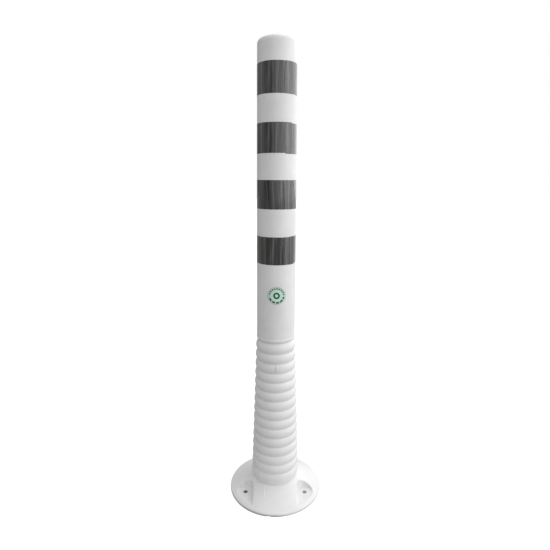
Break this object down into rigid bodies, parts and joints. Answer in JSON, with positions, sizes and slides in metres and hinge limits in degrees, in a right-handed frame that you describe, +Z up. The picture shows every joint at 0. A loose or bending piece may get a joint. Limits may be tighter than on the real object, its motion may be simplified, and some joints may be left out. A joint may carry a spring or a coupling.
{
  "type": "flexible delineator post",
  "caption": "Hollow white moulded post with a domed top, reflective bands, a round label, a ribbed neck that lets it bend, and a round flange with pockets for ground bolts.",
  "frame": {"origin": "centre of the flange's underside, on the ground", "axes": "+Z up along the post, -Y towards the front, where the label is, +X to the right as seen from the front"},
  "size_m": [0.215, 0.215, 1],
  "materials": {
    "post": "satin",
    "reflective_sheet": "gloss",
    "label": "satin"
  },
  "bodies": {
    "root": {"post_body": "post", "reflective_band_1": "reflective_sheet", "reflective_band_2": "reflective_sheet", "reflective_band_3": "reflective_sheet", "reflective_band_4": "reflective_sheet", "round_label": "label"}
  },
  "joints": []
}
